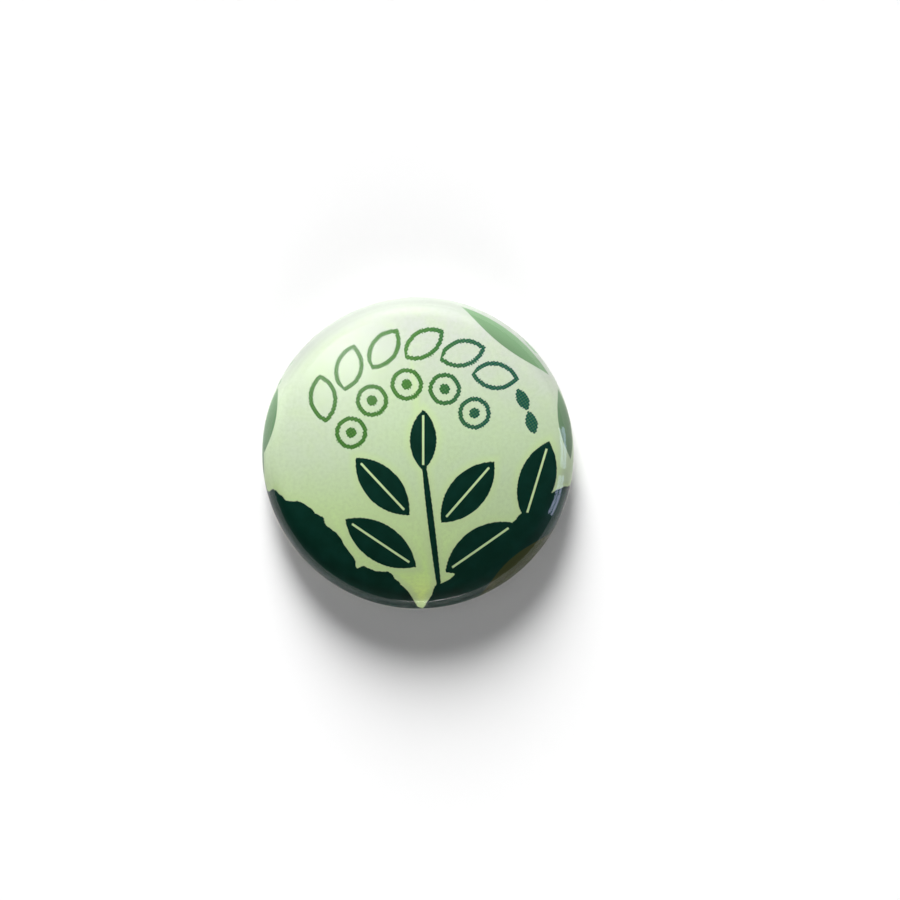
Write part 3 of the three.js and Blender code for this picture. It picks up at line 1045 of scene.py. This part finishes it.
class BADGE_OT_wire(bpy.types.Operator):
    """Make the spring wire: ring, root bend and clasp in one piece, and the needle that springs out"""

    bl_idname = "badge.make_wire"
    bl_label = "Spring Wire and Needle"

    def execute(self, context):
        scene = context.scene
        wire = scene.badge_wire
        run = WireRun(scene.badge_front, scene.badge_back, wire)
        material = wire_material(scene.badge_colours)

        ring = [run.in_place(point) for point in smooth_run(run.points(), CURVE_STEP)]
        piece = draw_wire("wire_ring_clasp", ring, [1.0] * len(ring), wire.wire_radius)
        finish_piece(piece, material, "pin_wire", "nickel_wire", "spring_wire")

        tip = run.nose + wire.tip_past_nose
        spots = [blend(run.stub_end, tip, i / NEEDLE_STEPS) for i in range(NEEDLE_STEPS + 1)]
        widths = [self.width(wire, tip - spot) for spot in spots]
        line = [run.in_place(Vector((spot, wire.needle_aside, run.needle_height))) for spot in spots]
        piece = draw_wire("wire_needle", line, widths, wire.wire_radius)
        finish_piece(piece, material, None, "nickel_wire", "pin_needle")
        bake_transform(piece)
        return {"FINISHED"}

    @staticmethod
    def width(wire, from_tip):
        """Width of the needle at a distance from its point, as a share of the wire's."""
        tip = wire.tip_radius / wire.wire_radius
        share = min(from_tip / wire.needle_taper, 1)
        return tip + (1 - tip) * (1 - (1 - share) ** 2.2) ** 0.75

    @staticmethod
    def hinge():
        """Where the needle springs from, by the frame's own joint."""
        for joint in frame["joints"]:
            if joint["name"] == "needle_release":
                return joint["pos_m"]
        raise RuntimeError("the frame has no joint named needle_release")


FLOOR_DROP = 0.00002
CLEAR_OUT = 12.6       # how far from the axis only the camera sees the floor, in millimetres
BOARD_DROP = 0.036
PANE_DISTANCE = 0.3
TENT_RADIUS = 0.4

# Tones of the light and of the board that the back's metal mirrors
WHITE, GREY, BLACK = (1.0, 1.0, 1.0, 1), (0.86, 0.86, 0.84, 1), (0.012, 0.009, 0.006, 1)
WARM, GREEN, BROWN = (0.90, 0.79, 0.50, 1), (0.70, 0.78, 0.54, 1), (0.28, 0.19, 0.12, 1)


def add_plane(size, location):
    bpy.ops.object.select_all(action="DESELECT")
    bpy.ops.mesh.primitive_plane_add(size=size, location=location)
    return bpy.context.object


def mirrored_only(piece, name, material, tree, shader):
    """Names a stage piece that only mirror images show, and gives it its shader."""
    piece.name = "stage_" + name.lower().replace(" ", "_")
    piece.visible_camera = piece.visible_diffuse = piece.visible_shadow = piece.visible_transmission = False
    place(tree, "OutputMaterial", {"Surface": shader})
    piece.data.materials.append(material)


class BADGE_OT_stage(bpy.types.Operator):
    """Make the floor, the light and the camera"""

    bl_idname = "badge.make_stage"
    bl_label = "Stage"

    def execute(self, context):
        scene = context.scene
        stage = scene.badge_stage
        self.floor(scene.badge_colours)
        self.sky(scene, stage)
        self.under_lamp()
        self.tent()
        for turn in (-17, 2):
            for rise in (0.16, 0.46):
                self.pane(turn, rise)
        self.board()
        self.camera(scene, stage)
        scene.view_settings.view_transform = "Standard"
        return {"FINISHED"}

    @staticmethod
    def floor(colours):
        """A wide floor, clear from below and, but for the camera, right under the badge."""
        floor = add_plane(4.6, (0, 0, -FLOOR_DROP))
        floor.name = "stage_floor"
        material, tree = new_material("Stage floor")
        under = calc(tree, "LESS_THAN", at(tree, millimetres(tree), 0, 0), CLEAR_OUT)
        unseen = minus(tree, under, place(tree, "LightPath").outputs["Is Camera Ray"])
        clear = calc(tree, "MAXIMUM", place(tree, "NewGeometry").outputs["Backfacing"], unseen)
        both = place(tree, "MixShader", {
            0: clear,
            1: place(tree, "BsdfDiffuse", {"Color": colours.floor}).outputs[0],
            2: place(tree, "BsdfTransparent").outputs[0],
        })
        place(tree, "OutputMaterial", {"Surface": both.outputs[0]})
        floor.data.materials.append(material)

    @staticmethod
    def sky(scene, stage):
        """Even light all round, with a low light from the top, a weaker one from the bottom and a soft one overhead."""
        world = bpy.data.worlds.new("Studio light")
        world.use_nodes = True
        tree = world.node_tree
        tree.nodes.clear()
        direction = move(tree, "NORMALIZE", place(tree, "TexCoord").outputs["Generated"])
        path = place(tree, "LightPath").outputs
        shown = calc(tree, "MAXIMUM", path["Is Glossy Ray"], path["Is Transmission Ray"])
        shown = calc(tree, "MAXIMUM", path["Is Camera Ray"], shown)
        light = calc(tree, "MULTIPLY_ADD", shown, 1.0 - stage.sky_level, stage.sky_level)
        for towards, reach, level in (
            ((-0.13, 0.92, 0.36), 19, stage.key_level),
            ((0.10, -0.97, 0.21), 20, stage.fill_level),
            ((-0.28, 0.24, 1.0), 26, stage.soft_level),
        ):
            facing = measure(tree, "DOT_PRODUCT", direction, Vector(towards).normalized())
            edge, core = math.cos(math.radians(reach)), math.cos(math.radians(2))
            light = plus(tree, light, span(tree, facing, edge, core, 0.0, level))
        background = place(tree, "Background", {"Color": WHITE, "Strength": light})
        place(tree, "OutputWorld", {"Surface": background.outputs[0]})
        scene.world = world

    @staticmethod
    def under_lamp():
        """A rectangular lamp that lights the back from below."""
        width, height, radiance = 0.07, 0.06, 1.9
        light = bpy.data.lights.new("Under window", "AREA")
        light.shape = "RECTANGLE"
        light.size, light.size_y = width, height
        light.energy = radiance * math.pi * width * height
        light.color = (1.0, 0.99, 0.98)
        lamp = bpy.data.objects.new("Under window", light)
        lamp.location = (0.03, 0.055, -0.11)
        lamp.rotation_mode = "QUATERNION"
        lamp.rotation_quaternion = (-lamp.location).to_track_quat("-Z", "Y")
        bpy.context.scene.collection.objects.link(lamp)

    @staticmethod
    def board():
        """A board under the badge: white, shaded to warm, green and, in one corner, dark."""
        board = add_plane(0.16, (0, 0, -BOARD_DROP))
        material, tree = new_material("Shaded board")
        spot = millimetres(tree)
        x, y, _ = split(tree, spot)
        away = at(tree, spot, 0, -8)
        corner = vector_of(tree, calc(tree, "MINIMUM", x, 14.0), calc(tree, "MAXIMUM", y, -12.0))
        dark = times(
            tree, span(tree, at(tree, corner, 14.5, -12.0), 16.2, 10.5), span(tree, away, 70.0, 34.0, 0.3, 1.0)
        )
        tone = WARM
        for share, over in (
            (span(tree, y, -3.0, -10.0), GREEN),
            (span(tree, calc(tree, "MULTIPLY_ADD", y, 1.2, x), -9.0, 1.0), WHITE),
            (span(tree, away, 16.0, 38.0), GREY),
            (span(tree, at(tree, corner, 1.0, -6.0), 10.5, 2.5, 0.0, 0.55), BROWN),
            (dark, BLACK),
        ):
            tone = mix(tree, share, tone, over)
        shine = place(tree, "Emission", {"Color": tone, "Strength": 1.12})
        mirrored_only(board, "Board", material, tree, shine.outputs[0])

    @staticmethod
    def pane(turn, rise):
        """One evenly lit window pane, turned towards the badge."""
        side = math.radians(turn)
        place_at = Vector((math.cos(side), math.sin(side), rise)) * PANE_DISTANCE
        pane = add_plane(1, place_at)
        pane.scale = (0.085, 0.072, 1)
        pane.rotation_euler = (-place_at).to_track_quat("-Z", "Y").to_euler()
        material, tree = new_material("Window pane")
        shine = place(tree, "Emission", {"Color": (0.62, 0.72, 1.0, 1), "Strength": 8.0})
        mirrored_only(pane, "Window pane", material, tree, shine.outputs[0])

    @staticmethod
    def tent():
        """A dark dome over the badge with one soft glow, clear near the horizon and below it."""
        bpy.ops.object.select_all(action="DESELECT")
        bpy.ops.mesh.primitive_uv_sphere_add(segments=64, ring_count=32, radius=TENT_RADIUS, location=(0, 0, 0))
        dome = bpy.context.object
        bpy.ops.object.shade_smooth()
        material, tree = new_material("Tent")
        direction = move(tree, "NORMALIZE", place(tree, "TexCoord").outputs["Object"])
        away = measure(tree, "DISTANCE", direction, Vector((-0.31, 0.42, 0.85)).normalized())
        glow = calc(tree, "MULTIPLY_ADD", calc(tree, "POWER", span(tree, away, 0.55, 0.0), 3.0), 8.0, 0.004)
        shine = place(tree, "Emission", {"Color": (0.98, 1.0, 0.98, 1), "Strength": glow})
        high = span(tree, split(tree, direction)[2], 0.03, 0.12)
        both = place(tree, "MixShader", {0: high, 1: place(tree, "BsdfTransparent").outputs[0], 2: shine.outputs[0]})
        mirrored_only(dome, "Tent", material, tree, both.outputs[0])

    @staticmethod
    def camera(scene, stage):
        data = bpy.data.cameras.new("Photo view")
        data.lens = data.sensor_width * stage.camera_height / stage.view_width
        data.clip_start, data.clip_end = 0.001, 10
        camera = bpy.data.objects.new("Photo view", data)
        camera.location = (stage.view_right, stage.view_up, stage.camera_height)
        scene.collection.objects.link(camera)
        scene.camera = camera


class BADGE_PT_panel(bpy.types.Panel):
    """Sizes, colours and pieces of the badge"""

    bl_label = "Button Badge"
    bl_space_type = "VIEW_3D"
    bl_region_type = "UI"
    bl_category = "Badge"

    def draw(self, context):
        for group in GROUPS:
            box = self.layout.box()
            box.label(text=group.removeprefix("badge_").title())
            values = getattr(context.scene, group)
            for name in values.__annotations__:
                box.prop(values, name)
        for operator in OPERATORS:
            self.layout.operator(operator.bl_idname)


GROUPS = {
    "badge_front": BADGE_PG_front, "badge_back": BADGE_PG_back, "badge_wire": BADGE_PG_wire,
    "badge_colours": BADGE_PG_colours, "badge_stage": BADGE_PG_stage,
}
OPERATORS = (BADGE_OT_film, BADGE_OT_paper, BADGE_OT_shell, BADGE_OT_plate, BADGE_OT_wire, BADGE_OT_stage)


def register():
    for cls in (*GROUPS.values(), *OPERATORS, BADGE_PT_panel):
        bpy.utils.register_class(cls)
    for name, group in GROUPS.items():
        setattr(bpy.types.Scene, name, PointerProperty(type=group))


def unregister():
    for name in GROUPS:
        delattr(bpy.types.Scene, name)
    for cls in reversed((*GROUPS.values(), *OPERATORS, BADGE_PT_panel)):
        bpy.utils.unregister_class(cls)


def main():
    register()
    leaf_group()
    grain_group()
    bpy.ops.badge.make_film()
    bpy.ops.badge.make_paper()
    bpy.ops.badge.make_shell()
    bpy.ops.badge.make_plate()
    bpy.ops.badge.make_wire()
    bpy.ops.badge.make_stage()


if __name__ == "__main__":
    main()
